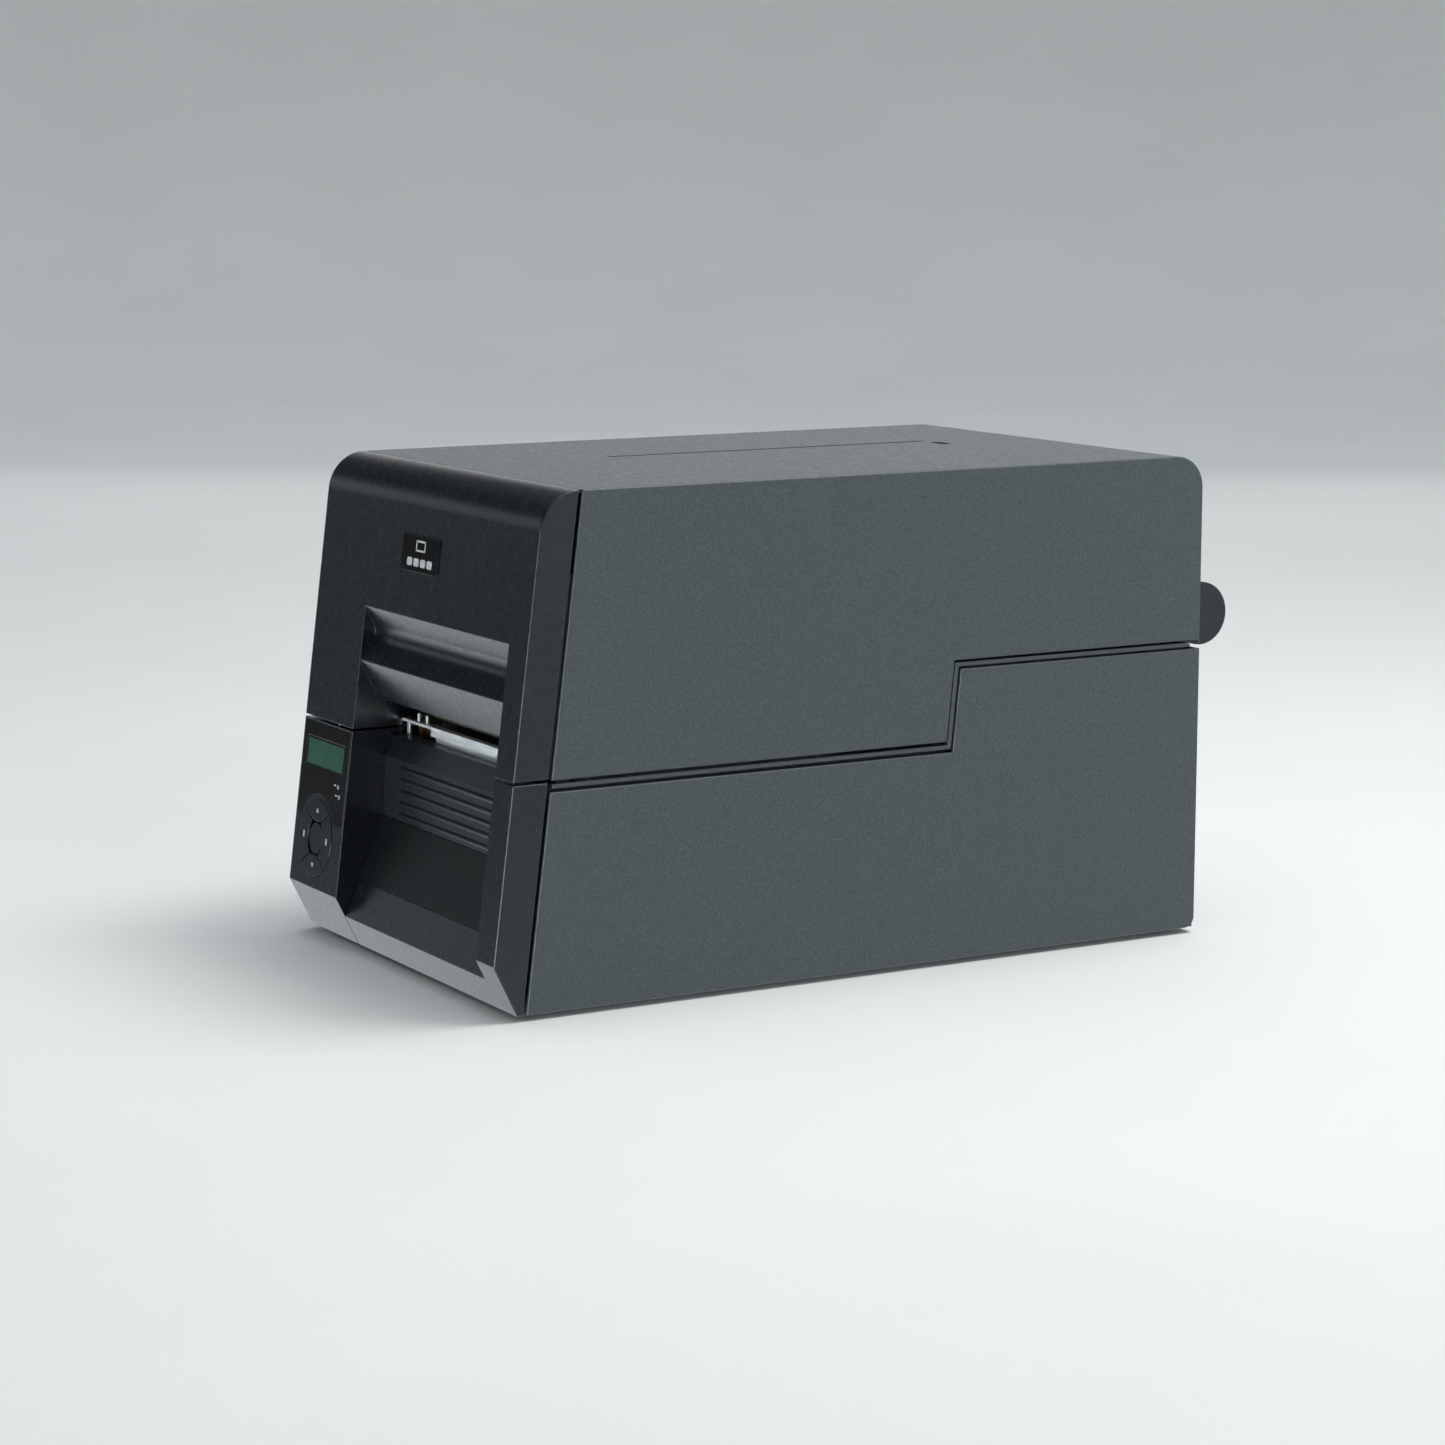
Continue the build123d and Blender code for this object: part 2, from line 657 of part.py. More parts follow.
def rear_cuts():
    """The openings in the rear wall."""
    y = (REAR_Y - SHEET - 1, REAR_Y + 1)
    cuts = opening(PAPER_SLOT, y) + opening(INLET, y, 0.1)
    for place in (SWITCH, SQUARE_PORT, WIDE_PORT):
        cuts += opening(place, y, 0.2)
    return cuts


def mechanism_plate(x, back, rounds):
    """A steel plate that carries the mechanism: its own outline at the back, and a shared front."""
    foot = FLOOR + SHEET
    crown = [(-110, 226), (-148, 226)]
    nose = [(-148, 152), (WALL_END + 0.5, 132), (WALL_END + 0.5, foot)]
    points = [(PLATE_REAR, foot), *back, *crown, *nose]
    plate = slab(points, x, rounds + [(crown[0], 12), (crown[1], 10)])
    reach = (x[0] - 1, x[1] + 1)
    plate -= rod_x(BUSHING, reach, *PLATEN)
    plate -= rod_x(PIVOT_ROD, reach, *HEAD_PIVOT)
    for centre in (SUPPLY, TAKEUP):
        plate -= rod_x(SPINDLE_SHAFT + BORE_GAP, reach, *centre)
    for y in RODS_Y:
        plate -= rod_x(ROD_RADIUS, reach, y, ROD_Z)
    return plate


def centre_wall():
    """The steel wall between the electronics and the media bay."""
    back = [(PLATE_REAR, 150), (-20, 150), (-40, 206)]
    return mechanism_plate(CENTRE_WALL, back, [(back[2], 12)])


def right_plate():
    """The steel plate at the right of the media bay."""
    back = [(PLATE_REAR, 60), (-10, 60), (-30, 200)]
    return mechanism_plate(RIGHT_PLATE, back, [(back[1], 20), (back[2], 14)])


def platen_bushings():
    """The two bushings that the platen roller turns in."""
    rings = []
    for low, high in (CENTRE_WALL, RIGHT_PLATE):
        middle = (low + high) / 2
        sleeve = rod_x(BUSHING, (middle - 3, middle + 3), *PLATEN)
        rings.append(sleeve - rod_x(PLATEN_SHAFT + BORE_GAP, (middle - 4, middle + 4), *PLATEN))
    return rings[0] + rings[1]


def bay_liner():
    """The moulded floor of the media bay, curved up at the back."""
    x = (CENTRE_WALL[1] + HAIRLINE, RIGHT_PLATE[0] - HAIRLINE)
    z = FLOOR + SHEET
    points = [(-150, z), (160, z), (190, z + 45), (187, z + 46), (158, z + WALL), (-150, z + WALL)]
    liner = slab(points, x, [(points[1], 12), (points[4], 10)])
    return liner + rod_z(CENTRE_PIN, MEDIA_X, HUB[0], (z + WALL - 1, RACK_Z[1] + 1))


def guide_rods():
    """The two rods that the media guides slide along."""
    rods = [rod_x(ROD_RADIUS, (CENTRE_WALL[0], RIGHT_PLATE[1]), y, ROD_Z) for y in RODS_Y]
    return rods[0] + rods[1]


def hinge_bracket():
    """The base's right hinge bracket and the pin that the cover turns on."""
    neck = block(BRACKET, (186, REAR_Y - SHEET), (110, HINGE_Z))
    eye = rod_x(11, BRACKET, HINGE_Y, HINGE_Z)
    bridge = block(BRACKET, (REAR_Y - SHEET - 1, HINGE_Y + 2), (SPLIT_REAR, HINGE_Z))
    pin = rod_x(HINGE_PIN, (BRACKET[1] - 2, BARREL[1] - 5), HINGE_Y, HINGE_Z)
    return neck + eye + bridge + pin


def feet():
    """Four rubber feet under the pan."""
    pads = []
    for x in (-104, 104):
        for y in (-180, 180):
            pad = rod_z(9, x, y, (0, FLOOR))
            pads.append(fillet(pad.edges().sort_by(Axis.Z)[0], 1))
    return Compound(children=pads)


def bumpers():
    """Two rubber pads that the closed cover rests on."""
    z = (SPLIT_FRONT + RIM / 2, COVER_FOOT)
    y = front(COVER_FOOT, 24)
    return both(block((SIDE_FRAME[1], INNER - 1), (y, y + 8), z))


def screws():
    """Screws with domed heads on the rear wall."""
    heads = []
    for x in (-116, -20, 60, 116):
        for z in (12, 140):
            heads.append(rod_y(3, x, (REAR_Y, REAR_Y + 1.6), z))
    return Compound(children=heads)


# Electronics


def main_board():
    """The main circuit board, upright beside the centre wall."""
    return block((BOARD_X, BOARD_X + BOARD_SHEET), (-50, 198), (56, 146))


def board_parts():
    """Chips, connectors and capacitors on the main board."""
    x = BOARD_X
    parts = [block((x - 2.4, x), (60, 88), (90, 118)), block((x - 1.6, x), (100, 118), (95, 113))]
    parts += [block((x - 9, x), (-44, -38), (62 + 24 * n, 80 + 24 * n)) for n in range(3)]
    parts += [rod_x(6, (x - 16, x), 20 * n, 72) for n in range(3)]
    parts += [block((x - 3, x), (10, 40), (104 + 14 * n, 112 + 14 * n)) for n in range(3)]
    return Compound(children=parts)


def power_supply():
    """The power supply in its perforated can."""
    can = block((-112, -74), (30, 176), (FLOOR + SHEET + 1, 48))
    return fillet(can.edges().filter_by(Axis.Y), 1.5)


def power_inlet():
    """The power inlet in the rear wall, open to the back, with its three blades."""
    inlet = opening(INLET, (REAR_Y - 22, REAR_Y)) + opening(INLET, (REAR_Y, REAR_Y + 2), 2)
    inlet -= opening(INLET, (REAR_Y - 16, REAR_Y + 3), -2.5)
    for across, up in ((-7, -2), (0, 4), (7, -2)):
        blade = (INLET[0] + across, INLET[1] + up, 2, 4)
        inlet += opening(blade, (REAR_Y - 17, REAR_Y - 3))
    return inlet


def socket(place, length, depth):
    """A data socket: a can of some length, with an opening of some depth."""
    can = opening(place, (REAR_Y - length, REAR_Y + 0.5))
    return can - opening(place, (REAR_Y - depth, REAR_Y + 1), -1.5)


def data_ports():
    """The two data sockets that the rear wall shows."""
    return Compound(children=[socket(SQUARE_PORT, 16, 9), socket(WIDE_PORT, 18, 12)])


def rocker_pin(reach, grow=0.0):
    """The line that the rocker tips about, as a rod that reaches past the switch's sides."""
    half = SWITCH[2] / 2 + reach
    x = (SWITCH[0] - half, SWITCH[0] + half)
    return rod_x(ROCKER_PIN + grow, x, REAR_Y - ROCKER_DEPTH / 2, SWITCH[1])


def power_rocker():
    """The power rocker, stored with its lower edge pressed in."""
    face = Rectangle(SWITCH[2] - 2, SWITCH[3] - 3)
    rocker = Pos(0, -ROCKER_DEPTH / 2, 0) * extrude(Plane.XZ * face, -ROCKER_DEPTH)
    rocker = Pos(SWITCH[0], REAR_Y - ROCKER_DEPTH / 2, SWITCH[1]) * Rot(-ROCKER_TILT, 0, 0) * rocker
    return rocker + rocker_pin(0)


def switch_frame():
    """The frame that the power rocker tips in."""
    frame = opening(SWITCH, (REAR_Y - 12, REAR_Y)) + opening(SWITCH, (REAR_Y, REAR_Y + 1.2), 1.5)
    frame -= opening(SWITCH, (REAR_Y - 10, REAR_Y + 2), -0.75)
    return frame - rocker_pin(1, BORE_GAP)


# Drive


def idler_centre():
    """Where the idler's axis is, as (y, z)."""
    return polar(PLATEN, MODULE * (PLATEN_TEETH + IDLER_TEETH) / 2, IDLER_ANGLE)


def motor_centre():
    """Where the motor's axis is, as (y, z)."""
    return polar(idler_centre(), MODULE * (IDLER_TEETH + PINION_TEETH) / 2, MOTOR_ANGLE)


def drive_motor():
    """The stepper motor and the bracket that holds it off the centre wall."""
    y, z = motor_centre()
    tall = (z - MOTOR_HALF, z + MOTOR_HALF)
    body = block(MOTOR_X, (y - MOTOR_HALF, y + MOTOR_HALF), tall)
    body = fillet(body.edges().filter_by(Axis.X), 4)
    end = y + MOTOR_HALF + 14
    bracket = block((MOTOR_X[1], MOTOR_X[1] + SHEET), (y - MOTOR_HALF, end), tall)
    bracket += block((MOTOR_X[1], CENTRE_WALL[0]), (end - SHEET, end), tall)
    return body + bracket - rod_x(3, (MOTOR_X[1] - 6, MOTOR_X[1] + 4), y, z)


def platen_gear():
    """The gear on the platen's left end."""
    return wheel(PLATEN_TEETH, 0, PLATEN, GEAR_X, PLATEN_SHAFT)


def idler_phase():
    """How far the idler is turned to be in mesh with the platen's gear."""
    return meshed(IDLER_ANGLE, PLATEN_TEETH, 0, IDLER_TEETH)


def idler_gear():
    """The gear between the motor and the platen."""
    return wheel(IDLER_TEETH, idler_phase(), idler_centre(), GEAR_X, IDLER_PIN + BORE_GAP)


def idler_stud():
    """The stud that the idler turns on."""
    stud = rod_x(IDLER_PIN, (GEAR_X[0] - 1, CENTRE_WALL[0]), *idler_centre())
    return stud + rod_x(IDLER_PIN + 2, (GEAR_X[1] + 0.3, CENTRE_WALL[0]), *idler_centre())


def motor_pinion():
    """The motor's pinion with its shaft."""
    phase = meshed(MOTOR_ANGLE, IDLER_TEETH, idler_phase(), PINION_TEETH)
    pinion = wheel(PINION_TEETH, phase, motor_centre(), GEAR_X, 2)
    return pinion + rod_x(2.5, (MOTOR_X[1] - 5, GEAR_X[1]), *motor_centre())


def platen_shaft():
    """The steel shaft of the platen roller."""
    return rod_x(PLATEN_SHAFT, (GEAR_X[0] - 1, RIGHT_PLATE[1] + 3), *PLATEN)


def platen_rubber():
    """The rubber sleeve of the platen roller."""
    x = (MEDIA_X - MEDIA_WIDTH / 2, MEDIA_X + MEDIA_WIDTH / 2)
    return rod_x(PLATEN_RADIUS, x, *PLATEN) - rod_x(PLATEN_SHAFT, (x[0] - 1, x[1] + 1), *PLATEN)


# Print head unit and ribbon spindles


def head_carrier():
    """The swinging bracket that carries the print head."""
    y, z = HEAD_PIVOT
    x = (MEDIA_X - HEAD_HALF, MEDIA_X + HEAD_HALF)
    tip = y - 84
    eye = [(y - 10, z - 11), (y + 10, z - 8), (y + 10, z + 8), (y - 10, z + 12)]
    arm = [(tip, DECK), *eye, (tip, DECK + 16)]
    bracket = slab(arm, (x[0], x[0] + SHEET)) + slab(arm, (x[1] - SHEET, x[1]))
    bracket += block(x, (tip, y - 20), (DECK, DECK + SHEET))
    return bracket - rod_x(PIVOT_ROD + BORE_GAP, (x[0] - 1, x[1] + 1), y, z)


def head_pivot_rod():
    """The fixed rod that the print head unit swings on."""
    return rod_x(PIVOT_ROD, (CENTRE_WALL[0], RIGHT_PLATE[1]), *HEAD_PIVOT)


def print_head():
    """The print head, just clear of the platen."""
    half = HEAD_HALF - 2
    low = PLATEN[1] + PLATEN_RADIUS + HAIRLINE
    points = [(-176, low + 3), (-170, low), (-150, low), (-142, low + 6), (-142, DECK), (-176, DECK)]
    return slab(points, (MEDIA_X - half, MEDIA_X + half))


def head_heatsink():
    """The finned heat sink over the print head."""
    x = (MEDIA_X - HEAD_HALF + 4, MEDIA_X + HEAD_HALF - 4)
    y = (-172, -128)
    foot = DECK + SHEET
    sink = block(x, y, (foot, foot + 3))
    for n in range(FIN_COUNT):
        fin = x[0] + 2 + FIN_PITCH * n
        sink += block((fin, fin + 1.6), y, (foot + 2, foot + 14))
    return sink


def head_handle():
    """The release handle on the right arm of the print head unit."""
    x = (MEDIA_X + HEAD_HALF, MEDIA_X + HEAD_HALF + 12)
    grip = [(-150, DECK + 14), (-158, DECK + 30), (-164, DECK + 30), (-164, DECK + 14)]
    points = [(-170, DECK + 4), (-120, DECK + 4), (-120, DECK + 10), *grip, (-170, DECK + 12)]
    return slab(points, x, [(grip[1], 2), (grip[2], 2)])


def spindle(centre):
    """A ribbon spindle: core with drive fins, one flange and a shaft."""
    core = rod_x(SPINDLE_CORE, (MEDIA_X - 62, MEDIA_X + 62), *centre)
    for n in range(4):
        y, z = polar(centre, SPINDLE_CORE, 90 * n + 20)
        core += rod_x(1.6, (MEDIA_X - 60, MEDIA_X + 56), y, z)
    core += rod_x(20, (MEDIA_X - 65, MEDIA_X - 62), *centre)
    return core + rod_x(SPINDLE_SHAFT, (CENTRE_WALL[0] - 4, RIGHT_PLATE[1] + 4), *centre)


# Media guides


def rack(y, side, end):
    """A toothed bar along X that ends at x = end: side is +1 if its teeth point to +Y."""
    pitch = math.pi * MODULE
    half = pitch / 4 - BACKLASH / 2
    slope = math.tan(PRESSURE) * MODULE
    points = []
    for n in range(-3, RACK_TEETH):
        middle = MEDIA_X - side * (n + 0.5) * pitch
        for reach, width in ((-1.25, 1.25), (1, -1), (1, -1), (-1.25, 1.25)):
            turn = 1 if len(points) % 4 < 2 else -1
            offset = half + width * slope
            points.append((middle + side * turn * offset, y + side * reach * MODULE))
    back = y - side * 6
    points += [(end, points[-1][1]), (end, back), (points[0][0], back)]
    return Pos(0, 0, RACK_Z[0]) * extrude(outline(points), RACK_Z[1] - RACK_Z[0])


def media_guide(side):
    """A media guide with its hub, its slide blocks and its rack: side is -1 left, 1 right."""
    x = sorted((MEDIA_X + side * GUIDE_HALF, MEDIA_X + side * (GUIDE_HALF - 4)))
    arm = [(RODS_Y[0] - 7, ROD_Z - 6), (RODS_Y[1] + 7, ROD_Z - 6), (RODS_Y[1] + 7, ROD_Z + 10)]
    arm += [(HUB[0] + 15, HUB[1] + 10), (HUB[0] - 15, HUB[1] + 10), (RODS_Y[0] - 7, ROD_Z + 10)]
    guide = slab(arm, x, [(arm[3], 12), (arm[4], 12)])
    hub = sorted((MEDIA_X + side * (GUIDE_HALF - 4), MEDIA_X + side * (GUIDE_HALF - 14)))
    guide += rod_x(12, hub, *HUB)
    block_x = sorted((MEDIA_X + side * GUIDE_HALF, MEDIA_X + side * (GUIDE_HALF - 16)))
    for y in RODS_Y:
        guide += block(block_x, (y - 7, y + 7), (ROD_Z - 6, ROD_Z + 7))
        guide -= rod_x(ROD_RADIUS + BORE_GAP, (block_x[0] - 1, block_x[1] + 1), y, ROD_Z)
    rack_y = HUB[0] + side * MODULE * CENTRE_TEETH / 2
    guide += rack(rack_y, -side, MEDIA_X + side * GUIDE_HALF)
    tab_y = sorted((rack_y + side * 1.3, rack_y + side * 6))
    return guide + block(x, tab_y, (RACK_Z[0], ROD_Z - 5))


def guide_pinion():
    """The pinion that keeps the two media guides centred."""
    pinion = Pos(MEDIA_X, HUB[0], RACK_Z[0]) * extrude(gear(CENTRE_TEETH, 90), RACK_Z[1] - RACK_Z[0])
    return pinion - rod_z(CENTRE_PIN + BORE_GAP, MEDIA_X, HUB[0], (RACK_Z[0] - 1, RACK_Z[1] + 1))


PIECES = {
    "base_pan": base_pan(),
    "lower_side_right": side_panel(base_outline()),
    "lower_side_left": swap(side_panel(base_outline())),
    "side_frame_right": side_frame(),
    "side_frame_left": swap(side_frame()),
    "lower_bezel": lower_bezel(),
    "control_column": control_column(),
    "display_panel": display_panel(),
    "display_glass": display_glass(),
    "keypad_base": keypad_base(),
    "status_lights": status_lights(),
    "control_board": control_board(),
    "ribbed_chute": ribbed_chute(),
    "chute_insert": chute_insert(),
    "tear_bar": tear_bar(),
    "centre_wall": centre_wall(),
    "right_plate": right_plate(),
    "platen_bushings": platen_bushings(),
    "head_pivot_rod": head_pivot_rod(),
    "idler_stud": idler_stud(),
    "drive_motor": drive_motor(),
    "main_board": main_board(),
    "board_parts": board_parts(),
    "power_supply": power_supply(),
    "power_inlet": power_inlet(),
    "switch_frame": switch_frame(),
    "data_ports": data_ports(),
    "bay_liner": bay_liner(),
    "guide_rods": guide_rods(),
    "hinge_brackets": both(hinge_bracket()),
    "feet": feet(),
    "bumpers": bumpers(),
    "screws": screws(),
    "cover_bezel": cover_bezel(),
    "cover_top": cover_top(),
    "cover_side_right": side_panel(cover_outline()),
    "cover_side_left": swap(side_panel(cover_outline())),
    "cover_frame": cover_frame(),
    "hinge_barrels": both(hinge_barrel()),
    "badge": badge(),
    "platen_shaft": platen_shaft(),
    "platen_rubber": platen_rubber(),
    "platen_gear": platen_gear(),
    "idler_gear": idler_gear(),
    "motor_pinion": motor_pinion(),
    "head_carrier": head_carrier(),
    "print_head": print_head(),
    "head_heatsink": head_heatsink(),
    "head_handle": head_handle(),
    "ribbon_supply": spindle(SUPPLY),
    "ribbon_takeup": spindle(TAKEUP),
    "guide_left": media_guide(-1),
    "guide_right": media_guide(1),
    "guide_pinion": guide_pinion(),
    "key_up": key("up"),
    "key_down": key("down"),
    "key_left": key("left"),
    "key_right": key("right"),
    "power_rocker": power_rocker(),
}

for name, piece in PIECES.items():
    export_step(piece, f"parts/{name}.step")
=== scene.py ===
import json
import math

import bmesh
import bpy
from mathutils import Matrix, Vector


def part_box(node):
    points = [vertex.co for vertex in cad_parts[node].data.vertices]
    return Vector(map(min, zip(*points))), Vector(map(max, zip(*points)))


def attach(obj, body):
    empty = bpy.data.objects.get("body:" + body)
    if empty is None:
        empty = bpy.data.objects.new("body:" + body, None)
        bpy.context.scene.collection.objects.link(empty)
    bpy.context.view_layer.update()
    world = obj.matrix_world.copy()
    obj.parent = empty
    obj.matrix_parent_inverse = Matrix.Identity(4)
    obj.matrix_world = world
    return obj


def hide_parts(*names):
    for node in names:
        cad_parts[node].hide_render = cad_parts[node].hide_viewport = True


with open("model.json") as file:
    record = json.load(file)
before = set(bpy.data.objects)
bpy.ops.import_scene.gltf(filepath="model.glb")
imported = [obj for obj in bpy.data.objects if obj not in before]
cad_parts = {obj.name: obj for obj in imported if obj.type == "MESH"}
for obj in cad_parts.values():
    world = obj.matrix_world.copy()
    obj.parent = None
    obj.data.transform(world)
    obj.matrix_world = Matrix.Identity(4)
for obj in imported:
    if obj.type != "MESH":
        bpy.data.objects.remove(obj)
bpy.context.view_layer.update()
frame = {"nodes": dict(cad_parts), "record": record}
nodes = frame["nodes"]

# The camera, as an angle round the printer and a distance from the point it looks at
AZIMUTH = math.radians(60.13)
ELEVATION = math.radians(9.23)
DISTANCE = 1.984
AIM = Vector((-0.005, -0.018, 0.1157))
LENS = 91.1

# The bright and dim bands of the surround: (height of the direction, brightness)
# The dim bands are what the front mirrors, and the bright ones below are what the chamfer mirrors
SURROUND = (
    (-1.0, 0.55),
    (-0.52, 0.64),
    (-0.38, 0.95),
    (-0.2, 0.36),
    (-0.12, 0.13),
    (-0.06, 0.06),
    (0.02, 0.045),
    (0.08, 0.3),
    (0.18, 0.32),
    (0.26, 0.02),
    (0.4, 0.012),
    (0.65, 0.12),
    (1.0, 0.9),
)
SURROUND_STRENGTH = 1.7

# Bright patches of the surround: (direction, squash in height, cosine at its rim and core, brightness)
# The first lights the upright edge at the front right, and the second the right side
GLOWS = (
    ((0.44, -0.88, -0.16), 3, 0.8, 0.96, 7.0),
    ((0.66, 0.74, 0.04), 4, 0.7, 1.0, 1.1),
)

# The front plane: it starts at this edge and goes back by LEAN per unit of height
FRONT_EDGE = Vector((0, -0.222, 0.0292))
LEAN = 0.128
UPRIGHT = 1 / math.hypot(1, LEAN)
MM = 0.001

# Places on the front as (x, height), in millimetres
PAD = (-97.0, 56.0)
PAD_REACH = 14.8  # from the middle of the keypad to the mark on a key
BADGE = (-2.5, 218.0)
DISPLAY = (-95.0, 100.8)
DISPLAY_SIZE = (48.6, 16.1)
LIGHT_DASHES = ((-78.6, 87.2), (-75.9, 82.0))


def span(node, axis):
    """The lowest and highest values of a CAD node along an axis, in millimetres."""
    low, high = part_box(node)
    return low[axis] / MM, high[axis] / MM


def axis_of(hinge):
    """Where the axis of a hinge along X lies, as (y, z) in millimetres."""
    joints = {joint["name"]: joint for joint in frame["record"]["behaviour"]["joints"]}
    return [value / MM for value in joints[hinge]["pos_m"][1:]]


# Places inside and behind, in millimetres; an axis and a screw are given as (y, z)
X, Y = 0, 1
REAR_Y = span("base_pan", Y)[1]
CENTRE_WALL = span("centre_wall", X)[1]
RIGHT_PLATE = span("right_plate", X)[1]
BOARD = span("main_board", X)[0]
PLATEN = axis_of("platen_spin")
PLATEN_START, PLATEN_END = span("platen_rubber", X)
PLATEN_LENGTH = PLATEN_END - PLATEN_START
PLATEN_RADIUS = 8.98
PLATEN_SHAFT = 4.0
MOTOR = axis_of("motor_spin")
MOTOR_FACE = span("drive_motor", X)[0]
MOTOR_SCREW = 15.5  # from the motor's axis to its screws, along y and along z
WALL_SCREWS = ((-150, 40), (-140, 190), (-60, 215), (60, 120), (170, 120), (170, 30))
PLATE_SCREWS = ((-150, 40), (-140, 190), (-60, 205), (20, 45), (175, 45))
BOARD_SCREWS = ((-44, 140), (192, 140), (192, 62))
CHIPS = ((74.0, 104.0, 14.0, 14), (109.0, 104.0, 9.0, 9))  # y, z, half the width, legs along a side
REAR_SCREWS_X = (-116, -20, 60, 116)
REAR_SCREWS_Z = (12, 140)
NETWORK_PORT = (-86.2, 196.0, 118.2)  # the first contact
SQUARE_PORT = (-79.0, 196.5, 91.0)


# Materials


def colour(hexcode, alpha=1.0):
    """A linear colour from an sRGB hex code."""
    parts = [int(hexcode[n : n + 2], 16) / 255 for n in (0, 2, 4)]
    return tuple(c / 12.92 if c <= 0.04045 else ((c + 0.055) / 1.055) ** 2.4 for c in parts) + (alpha,)


class Shader:
    """A material under construction: a Principled shader and helpers that add nodes to it."""

    def __init__(self, name, rough, metallic=0.0, specular=0.5, **sockets):
        self.material = bpy.data.materials.new(name)
        self.material.use_nodes = True
        self.tree = self.material.node_tree
        self.main = self.tree.nodes["Principled BSDF"]
        self.main.inputs["Roughness"].default_value = rough
        self.main.inputs["Metallic"].default_value = metallic
        self.main.inputs["Specular IOR Level"].default_value = specular
        for key, value in sockets.items():
            self.main.inputs[key.replace("_", " ")].default_value = value
        self.coords = self.add("ShaderNodeTexCoord").outputs["Object"]
        self.normal = None

    def add(self, kind, **values):
        """A new node with some of its inputs set."""
        node = self.tree.nodes.new(kind)
        for key, value in values.items():
            node.inputs[key].default_value = value
        return node

    def link(self, out, into):
        """A link from an output to an input."""
        self.tree.links.new(out, into)

    def noise(self, scale, detail=2.0, rough=0.5, stretch=(1, 1, 1)):
        """Noise over the object, per metre, stretched along its axes."""
        node = self.add("ShaderNodeTexNoise", Scale=scale, Detail=detail, Roughness=rough)
        mapping = self.add("ShaderNodeMapping", Scale=stretch)
        self.link(self.coords, mapping.inputs["Vector"])
        self.link(mapping.outputs["Vector"], node.inputs["Vector"])
        return node.outputs["Fac"]

    def ramp(self, value, low, high, at=(0.3, 0.7)):
        """A colour that runs from low to high as a value goes from at[0] to at[1]."""
        node = self.add("ShaderNodeValToRGB")
        node.color_ramp.elements[0].position = at[0]
        node.color_ramp.elements[1].position = at[1]
        node.color_ramp.elements[0].color = low
        node.color_ramp.elements[1].color = high
        self.link(value, node.inputs["Fac"])
        return node.outputs["Color"]

    def paint(self, value, low, high, at=(0.3, 0.7)):
        """The surface colour, varied between two colours."""
        self.link(self.ramp(value, low, high, at), self.main.inputs["Base Color"])

    def roughen(self, value, low, high, at=(0.3, 0.7)):
        """The roughness, varied between two values."""
        node = self.add("ShaderNodeMapRange")
        node.inputs["From Min"].default_value = at[0]
        node.inputs["From Max"].default_value = at[1]
        node.inputs["To Min"].default_value = low
        node.inputs["To Max"].default_value = high
        self.link(value, node.inputs["Value"])
        self.link(node.outputs["Result"], self.main.inputs["Roughness"])

    def round_edges(self, radius):
        """Edges that catch the light as if rounded."""
        node = self.add("ShaderNodeBevel", Radius=radius)
        node.samples = 4
        if self.normal:
            self.link(self.normal, node.inputs["Normal"])
        self.normal = node.outputs["Normal"]
        self.link(self.normal, self.main.inputs["Normal"])

    def bump(self, value, height, strength=1.0):
        """Relief of some height in metres."""
        node = self.add("ShaderNodeBump", Strength=strength, Distance=height)
        self.link(value, node.inputs["Height"])
        if self.normal:
            self.link(self.normal, node.inputs["Normal"])
        self.normal = node.outputs["Normal"]
        self.link(self.normal, self.main.inputs["Normal"])


def shade(hexcode, factor):
    """A hex colour made lighter or darker by a factor, in linear light."""
    return tuple(c * factor for c in colour(hexcode)[:3]) + (1.0,)


BLACK = colour("000000")
WHITE = colour("ffffff")


def powder_coat():
    """Blue-grey powder coat: fine speckle, orange peel, soft sheen."""
    made = Shader("powder_coat", 0.38, specular=0.5)
    speckle = made.noise(950, detail=4, rough=0.75)
    made.paint(speckle, shade("3a4144", 0.85), shade("4a5256", 1.15), (0.34, 0.68))
    made.roughen(made.noise(420, detail=3), 0.32, 0.46)
    made.round_edges(0.0006)
    made.bump(speckle, 0.00008, 0.4)
    return made.material


def satin_plastic(name, hexcode, rough, sheen=0.5):
    """Moulded plastic with a fine etched grain and faint flow marks."""
    made = Shader(name, rough, specular=sheen)
    made.paint(made.noise(60, detail=5), shade(hexcode, 0.88), shade(hexcode, 1.14))
    made.roughen(made.noise(260, detail=4), rough * 0.9, rough * 1.12)
    made.round_edges(0.0006)
    made.bump(made.noise(1100, detail=2), 0.000003, 0.3)
    return made.material


def gloss_plastic():
    """Piano-black panel with very faint polishing marks and dust."""
    made = Shader("gloss_panel", 0.1, specular=0.3, Coat_Weight=0.1, Coat_Roughness=0.05)
    made.paint(made.noise(900, detail=6), shade("09090a", 0.8), shade("101011", 1.2))
    made.roughen(made.noise(90, detail=5), 0.08, 0.2)
    made.round_edges(0.0005)
    return made.material


def display():
    """An unlit green display with a fine noise relief."""
    made = Shader("display", 0.22, specular=0.5, Coat_Weight=0.4, Coat_Roughness=0.12)
    made.paint(made.noise(140, detail=3), shade("2b5d4e", 0.95), shade("316857", 1.05))
    made.bump(made.noise(1500, detail=1), 0.00002, 0.4)
    return made.material


